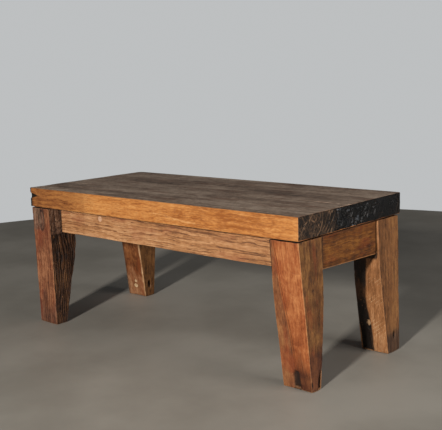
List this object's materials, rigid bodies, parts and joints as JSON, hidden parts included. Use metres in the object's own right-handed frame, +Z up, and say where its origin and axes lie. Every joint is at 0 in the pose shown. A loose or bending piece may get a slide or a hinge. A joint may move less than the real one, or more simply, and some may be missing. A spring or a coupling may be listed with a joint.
{
  "type": "backless bench",
  "caption": "Low rustic backless bench: one thick reclaimed plank on tapered slanting beam legs, tied by a pegged apron frame.",
  "frame": {"origin": "centre of the bounding box on the floor, midway between the feet", "axes": "+X along the bench to its right end, -Y to its front, +Z up"},
  "size_m": [1.033, 0.458, 0.42],
  "materials": {
    "seat_wood": "worn, waxed",
    "leg_wood": "worn, waxed",
    "apron_wood": "worn, waxed",
    "plug_wood": "matte",
    "hardwood": "sawn",
    "screw_steel": "zinc plated"
  },
  "bodies": {
    "root": {"seat_plank": "seat_wood", "leg_front_left": "leg_wood", "leg_front_right": "leg_wood", "leg_rear_right": "leg_wood", "leg_rear_left": "leg_wood", "front_apron": "apron_wood", "rear_apron": "apron_wood", "left_apron": "apron_wood", "right_apron": "apron_wood", "apron_plug": "plug_wood", "front_cleat": "hardwood", "rear_cleat": "hardwood", "dowel_front_left": "hardwood", "dowel_front_right": "hardwood", "dowel_rear_right": "hardwood", "dowel_rear_left": "hardwood", "front_left_long_peg_lower": "hardwood", "front_left_end_peg_lower": "hardwood", "front_left_long_peg_upper": "hardwood", "front_left_end_peg_upper": "hardwood", "front_right_long_peg_lower": "hardwood", "front_right_end_peg_lower": "hardwood", "front_right_long_peg_upper": "hardwood", "front_right_end_peg_upper": "hardwood", "rear_right_long_peg_lower": "hardwood", "rear_right_end_peg_lower": "hardwood", "rear_right_long_peg_upper": "hardwood", "rear_right_end_peg_upper": "hardwood", "rear_left_long_peg_lower": "hardwood", "rear_left_end_peg_lower": "hardwood", "rear_left_long_peg_upper": "hardwood", "rear_left_end_peg_upper": "hardwood", "front_seat_screw_1": "screw_steel", "front_seat_screw_2": "screw_steel", "front_seat_screw_3": "screw_steel", "front_seat_screw_4": "screw_steel", "front_apron_screw_1": "screw_steel", "front_apron_screw_2": "screw_steel", "front_apron_screw_3": "screw_steel", "rear_seat_screw_1": "screw_steel", "rear_seat_screw_2": "screw_steel", "rear_seat_screw_3": "screw_steel", "rear_seat_screw_4": "screw_steel", "rear_apron_screw_1": "screw_steel", "rear_apron_screw_2": "screw_steel", "rear_apron_screw_3": "screw_steel"}
  },
  "joints": []
}
